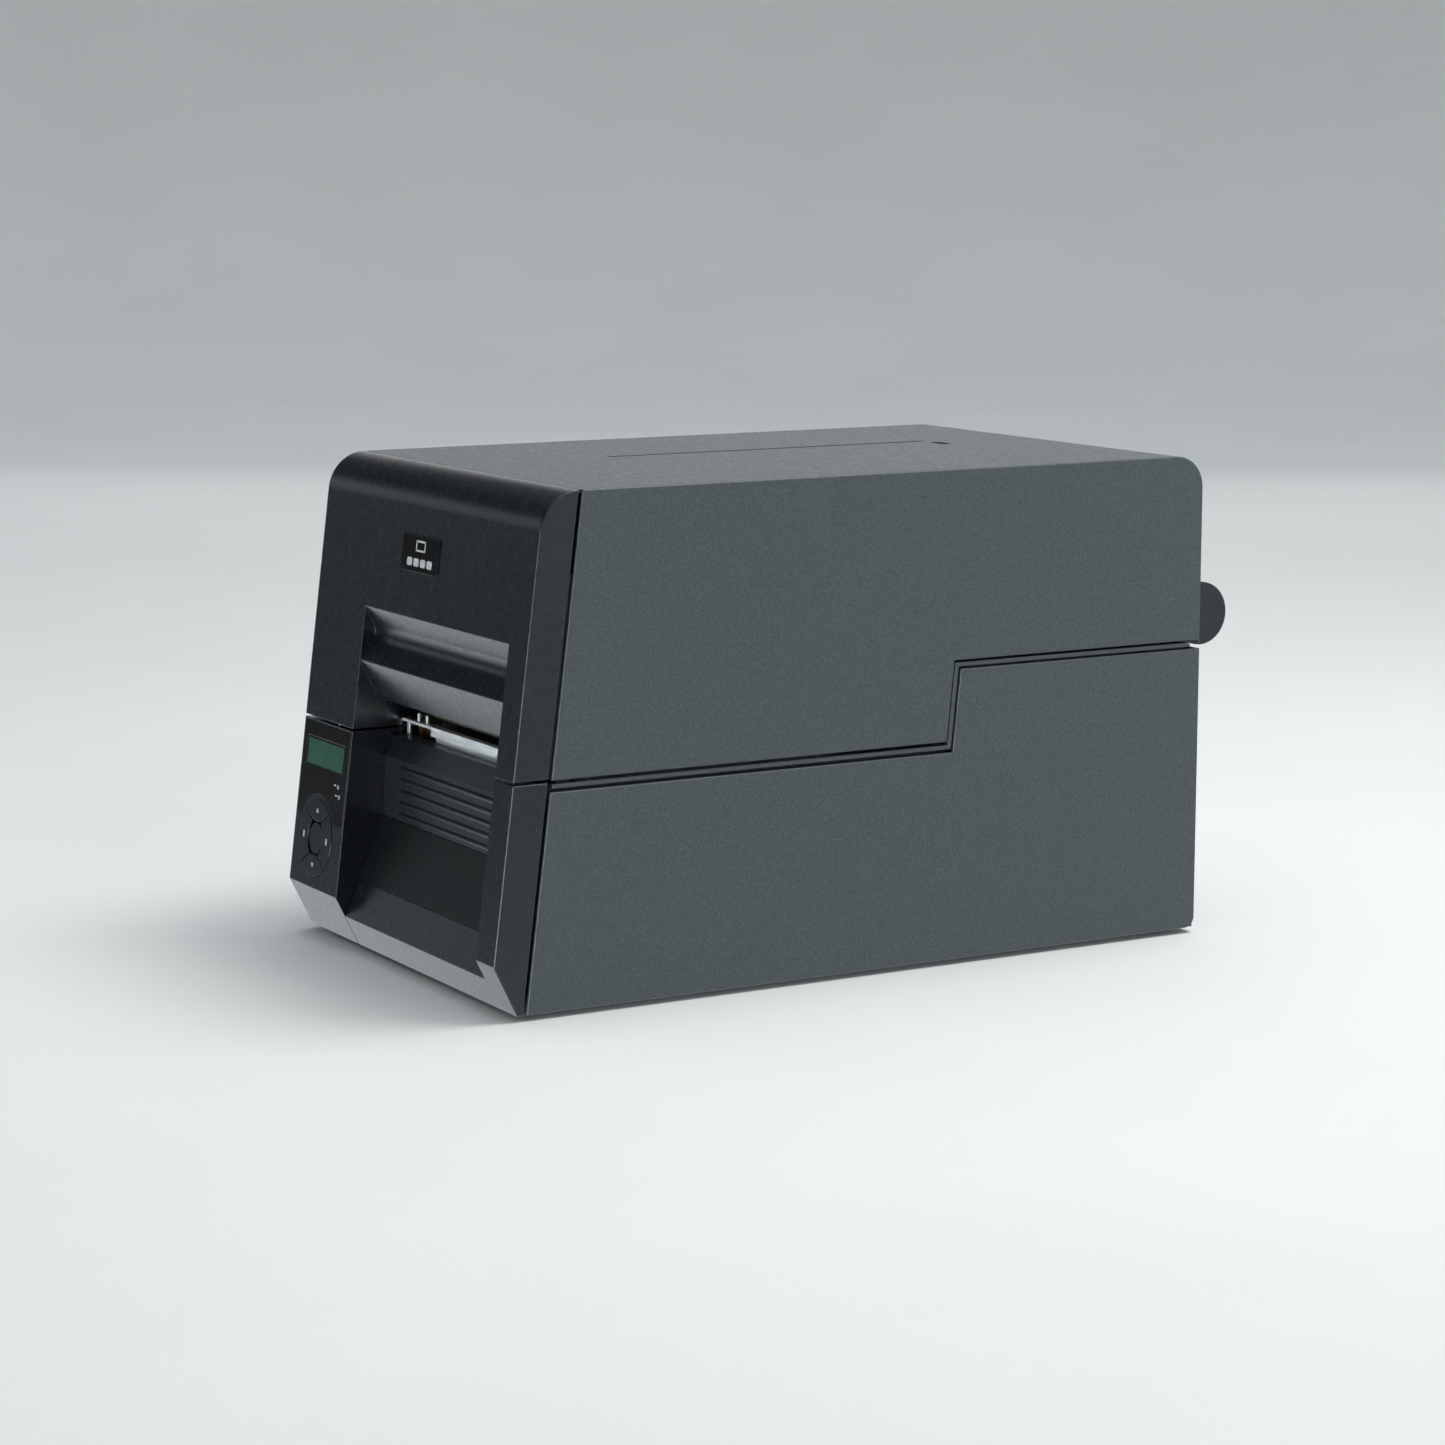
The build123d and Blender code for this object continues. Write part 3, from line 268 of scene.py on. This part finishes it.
def brushed(name, hexcode, rough, stretch=(0.04, 1, 1)):
    """Bare metal brushed along one axis."""
    made = Shader(name, rough, metallic=1.0, specular=0.5)
    grain = made.noise(1800, detail=3, stretch=stretch)
    made.paint(grain, shade(hexcode, 0.82), shade(hexcode, 1.1))
    made.roughen(grain, rough * 0.8, rough * 1.3)
    made.round_edges(0.0004)
    made.bump(grain, 0.00002, 0.5)
    return made.material


def rubber(name, hexcode):
    """Dull rubber with a dusty bloom."""
    made = Shader(name, 0.75, specular=0.35)
    made.paint(made.noise(220, detail=5), shade(hexcode, 0.8), shade(hexcode, 1.35))
    made.roughen(made.noise(500, detail=3), 0.62, 0.88)
    made.bump(made.noise(1600, detail=3), 0.00006, 0.6)
    return made.material


def perforated(name, hexcode):
    """Thin plated sheet with a regular grid of small round holes, drawn as near-black painted shade
    and a bump.
    """
    made = Shader(name, 0.4, metallic=1.0, specular=0.5)
    holes = made.add("ShaderNodeTexVoronoi", Scale=190.0, Randomness=0.0)
    made.link(made.coords, holes.inputs["Vector"])
    # The near-black inside each hole is painted shade, standing in for the dark seen through the hole
    made.paint(holes.outputs["Distance"], shade("0c0d0e", 1.0), shade(hexcode, 1.0), (0.27, 0.31))
    made.roughen(made.noise(300, detail=3), 0.32, 0.5)
    made.round_edges(0.0004)
    made.bump(made.ramp(holes.outputs["Distance"], BLACK, WHITE, (0.24, 0.32)), 0.0004, 0.7)
    return made.material


def board():
    """Green solder mask with copper tracks showing through."""
    made = Shader("circuit_board", 0.35, specular=0.5)
    tracks = made.add("ShaderNodeTexBrick", Scale=160.0)
    tracks.inputs["Color1"].default_value = shade("0f4a26", 1.0)
    tracks.inputs["Color2"].default_value = shade("125c30", 1.0)
    tracks.inputs["Mortar"].default_value = shade("1c7a44", 1.0)
    made.link(made.coords, tracks.inputs["Vector"])
    made.link(tracks.outputs["Color"], made.main.inputs["Base Color"])
    made.bump(made.noise(700, detail=2), 0.00005, 0.4)
    return made.material


def printed_white():
    """White ink for the printed marks, slightly worn."""
    made = Shader("print_white", 0.5, specular=0.4)
    made.paint(made.noise(1400, detail=4), shade("d2d5d6", 0.85), shade("f0f2f3", 1.0))
    made.bump(made.noise(3000, detail=1), 0.00001, 0.4)
    return made.material


def light_pipe():
    """Clear, slightly milky light pipes."""
    made = Shader("light_pipe", 0.25, specular=0.5, Coat_Weight=0.4)
    made.paint(made.noise(800, detail=3), shade("b9bec0", 0.9), shade("d4d8da", 1.0))
    return made.material


MATERIALS = {
    "powder_steel": powder_coat(),
    "moulded_dark": satin_plastic("moulded_dark", "171a1f", 0.26),
    "chute_plastic": satin_plastic("chute_plastic", "1c2124", 0.3, sheen=0.42),
    "insert_plastic": satin_plastic("insert_plastic", "0b0d0f", 0.42, sheen=0.3),
    "gloss_black": gloss_plastic(),
    "display_green": display(),
    "key_plastic": satin_plastic("key_plastic", "1a1d20", 0.24),
    "light_pipe": light_pipe(),
    "steel": brushed("steel", "b5b7b5", 0.34),
    "black_steel": satin_plastic("black_steel", "2c3033", 0.5),
    "aluminium": brushed("aluminium", "b9bbbd", 0.42),
    "brass": brushed("brass", "b08d4c", 0.38),
    "rubber": rubber("rubber", "17181a"),
    "gear_plastic": satin_plastic("gear_plastic", "c9c6b8", 0.45),
    "board_green": board(),
    "chip_black": satin_plastic("chip_black", "1a1b1d", 0.5),
    "handle_blue": satin_plastic("handle_blue", "1b3f78", 0.4),
    "head_ceramic": satin_plastic("head_ceramic", "6b6661", 0.3),
}


# Nodes with a finish of their own within their slot
OWN_FINISH = {
    "tear_bar": brushed("tear_steel", "dcdedd", 0.5),
    "power_supply": perforated("perforated_can", "aeb0b2"),
}


def dress_cad():
    """Every CAD node gets the material of its slot, or its own finish."""
    slots = {part["node"]: part["material_slot"] for part in frame["record"]["subparts"]}
    for name, node in nodes.items():
        node.data.materials.clear()
        node.data.materials.append(OWN_FINISH.get(name, MATERIALS[slots[name]]))


# Detail pieces


FACE = Matrix(
    (
        (1, 0, 0, FRONT_EDGE.x),
        (0, LEAN * UPRIGHT, -UPRIGHT, FRONT_EDGE.y),
        (0, UPRIGHT, LEAN * UPRIGHT, FRONT_EDGE.z),
        (0, 0, 0, 1),
    )
)


def on_front(x, z):
    """The place on the front plane at x and height z in millimetres, its own Z pointing out."""
    return FACE @ Matrix.Translation((x * MM, (z * MM - FRONT_EDGE.z) / UPRIGHT, 0))


def new_piece(name, shape, material, body):
    """A detail piece made from a bmesh, in the row frame, that rides on a body."""
    mesh = bpy.data.meshes.new(name)
    bmesh.ops.recalc_face_normals(shape, faces=shape.faces)
    shape.to_mesh(mesh)
    shape.free()
    mesh.materials.append(material)
    obj = bpy.data.objects.new(name, mesh)
    bpy.context.scene.collection.objects.link(obj)
    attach(obj, body)
    return obj


def plate(shape, points, place, low, high):
    """Adds a flat plate to a bmesh: an outline in millimetres, between two heights on a place."""
    bottom = [shape.verts.new(place @ Vector((x * MM, y * MM, low * MM))) for x, y in points]
    top = [shape.verts.new(place @ Vector((x * MM, y * MM, high * MM))) for x, y in points]
    shape.faces.new(top)
    shape.faces.new(bottom[::-1])
    for n in range(len(points)):
        m = (n + 1) % len(points)
        shape.faces.new((bottom[n], bottom[m], top[m], top[n]))


def box_points(width, height, x=0.0, y=0.0, corner=0.0):
    """The outline of a rectangle round (x, y), with its corners cut off."""
    w, h, c = width / 2, height / 2, corner
    right = [(w - c, -h), (w, c - h), (w, h - c), (w - c, h)]
    left = [(c - w, h), (-w, h - c), (-w, c - h), (c - w, -h)]
    points = right + left if corner else [(w, -h), (w, h), (-w, h), (-w, -h)]
    return [(x + u, y + v) for u, v in points]


def key_marks():
    """A plain white mark on each key: arrowheads up and down, bars at the sides."""
    arrow = [(-1.7, -1.0), (1.7, -1.0), (0, 1.5)]
    marks = {
        "up_key": [(x, y + PAD_REACH) for x, y in arrow],
        "down_key": [(x, -y - PAD_REACH) for x, y in arrow],
        "left_key": box_points(1.8, 3.6, -PAD_REACH, 0, 0.3),
        "right_key": box_points(1.8, 3.6, PAD_REACH, 0, 0.3),
    }
    for body, points in marks.items():
        shape = bmesh.new()
        plate(shape, points, on_front(*PAD), 0.25, 0.36)
        new_piece("mark_" + body, shape, PRINT, body)


def panel_marks():
    """Short printed dashes beside the two lights."""
    shape = bmesh.new()
    for x, z in LIGHT_DASHES:
        plate(shape, box_points(2.6, 0.8), on_front(x, z), -0.01, 0.05)
    new_piece("panel_marks", shape, PRINT, "base")


def badge_mark():
    """A generic mark on the badge: a small tag outline over a row of plain blocks."""
    shape = bmesh.new()
    place = on_front(*BADGE)
    tag = ((11, 1.0, 0, 6.4), (11, 1.0, 0, 1.6), (1.0, 5.8, -5, 4.0), (1.0, 5.8, 5, 4.0))
    for width, height, x, y in tag:
        plate(shape, box_points(width, height, x, y), place, 0.45, 0.6)
    for n in range(4):
        plate(shape, box_points(6.0, 4.2, -11.7 + 7.8 * n, -4.6, 0.8), place, 0.45, 0.6)
    new_piece("badge_mark", shape, PRINT, "cover")


def display_frame():
    """The dark printed border round the active part of the display."""
    shape = bmesh.new()
    place = on_front(*DISPLAY)
    width, height = DISPLAY_SIZE
    edge = 1.3
    for side in (-1, 1):
        plate(shape, box_points(width, edge, 0, side * (height - edge) / 2), place, -0.32, -0.26)
    for side in (-1, 1):
        bar = box_points(edge, height - 2 * edge, side * (width - edge) / 2, 0)
        plate(shape, bar, place, -0.32, -0.26)
    new_piece("display_frame", shape, MATERIALS["gloss_black"], "base")


def ring(shape, radius, height, place, count=28):
    """A circle of new vertices at some height on a place, in millimetres."""
    turn = 2 * math.pi / count
    spots = [(radius * math.cos(turn * n), radius * math.sin(turn * n), height) for n in range(count)]
    return [shape.verts.new(place @ Vector([v * MM for v in spot])) for spot in spots]


def join(shape, low, high):
    """Faces between two rings of vertices."""
    for n in range(len(low)):
        m = (n + 1) % len(low)
        shape.faces.new((low[n], low[m], high[m], high[n]))


def screw(shape, place):
    """A pan head with a cross recess."""
    head = 1.6
    sections = ((3.0, 0.0), (3.0, 0.75), (2.7, 1.25), (2.0, 1.55), (1.5, head))
    rings = [ring(shape, radius, height, place) for radius, height in sections]
    for low, high in zip(rings, rings[1:]):
        join(shape, low, high)
    shape.faces.new(rings[0][::-1])
    arm, slot, foot, taper = 1.35, 0.32, 0.7, 0.7
    cross = []
    for quarter in range(4):
        a = math.pi / 2 * quarter
        for u, v in ((arm, -slot), (arm, slot), (slot, slot)):
            cross.append((u * math.cos(a) - v * math.sin(a), u * math.sin(a) + v * math.cos(a)))
    rim = [shape.verts.new(place @ (Vector((x, y, head)) * MM)) for x, y in cross]
    pit = [shape.verts.new(place @ (Vector((x * taper, y * taper, foot)) * MM)) for x, y in cross]
    edges = []
    for n in range(len(rim)):
        m = (n + 1) % len(rim)
        shape.faces.new((rim[n], rim[m], pit[m], pit[n]))
        edges.append(shape.edges.get((rim[n], rim[m])))
    shape.faces.new(pit)
    top = rings[-1]
    edges += [shape.edges.get((top[n], top[(n + 1) % len(top)])) for n in range(len(top))]
    bmesh.ops.triangle_fill(shape, edges=edges, use_beauty=True)


def rear_screws():
    """The screws on the rear wall, with cross recesses in place of the plain discs."""
    shape = bmesh.new()
    facing = Matrix.Rotation(math.radians(-90), 4, "X")
    for x in REAR_SCREWS_X:
        for z in REAR_SCREWS_Z:
            spot = Vector((x, REAR_Y, z)) * MM
            screw(shape, Matrix.Translation(spot) @ facing @ Matrix.Rotation(0.3 * x, 4, "Z"))
    screws = new_piece("rear_screws", shape, MATERIALS["steel"], "base")
    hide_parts("screws")


def tooled_screws():
    """The small screws of the mechanism: on the plates, the motor and the main board."""
    right = Matrix.Rotation(math.radians(90), 4, "Y")
    left = Matrix.Rotation(math.radians(-90), 4, "Y")
    corners = [(u * MOTOR_SCREW, v * MOTOR_SCREW) for u in (-1, 1) for v in (-1, 1)]
    spots = [(CENTRE_WALL, y, z, right) for y, z in WALL_SCREWS]
    spots += [(RIGHT_PLATE, y, z, right) for y, z in PLATE_SCREWS]
    spots += [(MOTOR_FACE, MOTOR[0] + u, MOTOR[1] + v, left) for u, v in corners]
    spots += [(BOARD, y, z, left) for y, z in BOARD_SCREWS]
    shape = bmesh.new()
    for n, (x, y, z, facing) in enumerate(spots):
        place = Matrix.Translation(Vector((x, y, z)) * MM) @ facing @ Matrix.Rotation(0.7 * n, 4, "Z")
        screw(shape, place @ Matrix.Scale(0.9, 4))
    new_piece("tooled_screws", shape, MATERIALS["steel"], "base")


def chip_legs():
    """Rows of legs round the two chips on the main board."""
    shape = bmesh.new()
    sideways = Matrix.Rotation(math.radians(-90), 4, "Y")
    for y, z, half, count in CHIPS:
        place = Matrix.Translation(Vector((BOARD, y, z)) * MM) @ sideways
        for n in range(count):
            along = (n - (count - 1) / 2) * (2 * half - 3) / (count - 1)
            for side in (-1, 1):
                plate(shape, box_points(0.8, 2.0, along, side * (half + 0.9)), place, 0.05, 0.35)
                plate(shape, box_points(2.0, 0.8, side * (half + 0.9), along), place, 0.05, 0.35)
    new_piece("chip_legs", shape, MATERIALS["steel"], "base")


def port_contacts():
    """The gold contacts in the network socket, and the tongue in the square one."""
    shape = bmesh.new()
    behind = Matrix.Rotation(math.radians(90), 4, "X")
    for n in range(8):
        spot = Vector(NETWORK_PORT) + Vector((1.5 * n, 0, 0))
        place = Matrix.Translation(spot * MM) @ behind
        plate(shape, box_points(0.7, 3.0), place, -4.0, -3.4)
    place = Matrix.Translation(Vector(SQUARE_PORT) * MM) @ behind
    plate(shape, box_points(5.0, 2.4, 0, 0, 0.4), place, -6.0, 0.5)
    new_piece("port_contacts", shape, MATERIALS["brass"], "base")


def platen_knurl():
    """The fine rings turned into the rubber of the platen roller, as a sleeve with grooves."""
    shape = bmesh.new()
    start = Vector((PLATEN_START, *PLATEN)) * MM
    place = Matrix.Translation(start) @ Matrix.Rotation(math.radians(90), 4, "Y")
    groove, shoulder = PLATEN_RADIUS - 0.12, 8.2
    sections = [(PLATEN_SHAFT, 0.0), (shoulder, 0.0), (PLATEN_RADIUS, 0.8)]
    for n in range(62):
        low = 2.0 + 1.98 * n
        sections += [(PLATEN_RADIUS, low), (groove, low + 0.3)]
        sections += [(groove, low + 0.6), (PLATEN_RADIUS, low + 0.9)]
    sections += [(PLATEN_RADIUS, PLATEN_LENGTH - 0.8), (shoulder, PLATEN_LENGTH)]
    sections.append((PLATEN_SHAFT, PLATEN_LENGTH))
    rings = [ring(shape, radius, height, place, 48) for radius, height in sections]
    for low, high in zip(rings, rings[1:] + rings[:1]):
        join(shape, low, high)
    sleeve = new_piece("platen_sleeve", shape, MATERIALS["rubber"], "platen")
    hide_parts("platen_rubber")


# Stage


def bowl():
    """A pale floor that curves up into a wall all round, so that no horizon shows."""
    flat, sweep, wall, sides = 4.0, 2.5, 3.0, 96
    hoops, steps = 8, 12
    profile = [(flat * n / hoops, 0.0) for n in range(1, hoops + 1)]
    for n in range(1, steps + 1):
        angle = math.pi / 2 * n / steps
        profile.append((flat + sweep * math.sin(angle), sweep * (1 - math.cos(angle))))
    profile.append((flat + sweep, sweep + wall))
    shape = bmesh.new()
    rings = [ring(shape, radius / MM, height / MM, Matrix(), sides) for radius, height in profile]
    shape.faces.new(rings[0])
    for low, high in zip(rings, rings[1:]):
        join(shape, high, low)
    mesh = bpy.data.meshes.new("floor")
    shape.to_mesh(mesh)
    shape.free()
    for face in mesh.polygons:
        face.use_smooth = True
    floor = bpy.data.objects.new("floor", mesh)
    bpy.context.scene.collection.objects.link(floor)
    made = Shader("floor_paper", 0.75, specular=0.2)
    made.paint(made.noise(3, detail=4), shade("e2e2e0", 0.98), shade("e2e2e0", 1.02))
    mesh.materials.append(made.material)
    floor.visible_glossy = False


def surround():
    """Soft light from all round: bright above and below, dim at the height of the horizon."""
    world = bpy.data.worlds.new("surround")
    world.use_nodes = True
    world.cycles.sampling_method = "NONE"
    tree = world.node_tree
    add, link = tree.nodes.new, tree.links.new

    def scaled(value, low, high, smooth=False):
        """A value brought from the range low to high to the range 0 to 1."""
        node = add("ShaderNodeMapRange")
        node.interpolation_type = "SMOOTHSTEP" if smooth else "LINEAR"
        node.inputs["From Min"].default_value = low
        node.inputs["From Max"].default_value = high
        link(value, node.inputs["Value"])
        return node.outputs["Result"]

    coords = add("ShaderNodeTexCoord").outputs["Generated"]
    split = add("ShaderNodeSeparateXYZ")
    link(coords, split.inputs["Vector"])
    ramp = add("ShaderNodeValToRGB")
    steps = ramp.color_ramp.elements
    while len(steps) < len(SURROUND):
        steps.new(0.5)
    for stop, (z, bright) in zip(steps, SURROUND):
        stop.position = (z + 1) / 2
        stop.color = (bright * 0.88, bright * 0.96, bright, 1)
    link(scaled(split.outputs["Z"], -1, 1), ramp.inputs["Fac"])

    light = ramp.outputs["Color"]
    for direction, squash, edge, core, bright in GLOWS:
        toward = add("ShaderNodeVectorMath")
        toward.operation = "MULTIPLY"
        toward.inputs[1].default_value = (1, 1, squash)
        link(coords, toward.inputs[0])
        level = add("ShaderNodeVectorMath")
        level.operation = "NORMALIZE"
        link(toward.outputs["Vector"], level.inputs[0])
        near = add("ShaderNodeVectorMath")
        near.operation = "DOT_PRODUCT"
        x, y, z = direction
        near.inputs[1].default_value = Vector((x, y, z * squash)).normalized()
        link(level.outputs["Vector"], near.inputs[0])
        mix = add("ShaderNodeMix")
        mix.data_type = "RGBA"
        mix.inputs["B"].default_value = (bright * 0.9, bright * 0.97, bright, 1)
        link(scaled(near.outputs["Value"], edge, core, True), mix.inputs["Factor"])
        link(light, mix.inputs["A"])
        light = mix.outputs["Result"]
    link(light, tree.nodes["Background"].inputs["Color"])
    tree.nodes["Background"].inputs["Strength"].default_value = SURROUND_STRENGTH
    bpy.context.scene.world = world


def soft_light(name, place, aim, size, radiance):
    """A rectangular softbox at a place, turned to a point, that the camera doesn't see."""
    data = bpy.data.lights.new(name, "AREA")
    data.shape = "RECTANGLE"
    data.size, data.size_y = size
    data.energy = radiance * math.pi * size[0] * size[1]
    light = bpy.data.objects.new(name, data)
    light.location = place
    light.rotation_mode = "QUATERNION"
    light.rotation_quaternion = (Vector(aim) - Vector(place)).to_track_quat("-Z", "Y")
    light.visible_camera = False
    bpy.context.scene.collection.objects.link(light)


def lights():
    """A softbox overhead, a fill at the right, and a wide dim softbox behind for the top's sheen."""
    middle = (0, 0, 0.12)
    soft_light("overhead", (0.35, 0.6, 1.8), middle, (0.9, 0.9), 9.0)
    soft_light("right", (2.6, 0.4, 1.3), middle, (1.2, 1.2), 2.0)
    soft_light("behind", (-2.2, 1.4, 0.75), middle, (2.4, 0.9), 0.5)


def camera():
    """The camera at the reference angle."""
    back = Vector(
        (
            math.sin(AZIMUTH) * math.cos(ELEVATION),
            -math.cos(AZIMUTH) * math.cos(ELEVATION),
            math.sin(ELEVATION),
        )
    )
    data = bpy.data.cameras.new("camera")
    data.lens = LENS
    data.clip_start = 0.05
    data.clip_end = 60
    eye = bpy.data.objects.new("camera", data)
    eye.location = AIM + back * DISTANCE
    eye.rotation_mode = "QUATERNION"
    eye.rotation_quaternion = (-back).to_track_quat("-Z", "Y")
    bpy.context.scene.collection.objects.link(eye)
    bpy.context.scene.camera = eye


PRINT = printed_white()

dress_cad()
key_marks()
panel_marks()
badge_mark()
display_frame()
rear_screws()
tooled_screws()
chip_legs()
port_contacts()
platen_knurl()
bowl()
surround()
lights()
camera()
bpy.context.scene.view_settings.view_transform = "Standard"
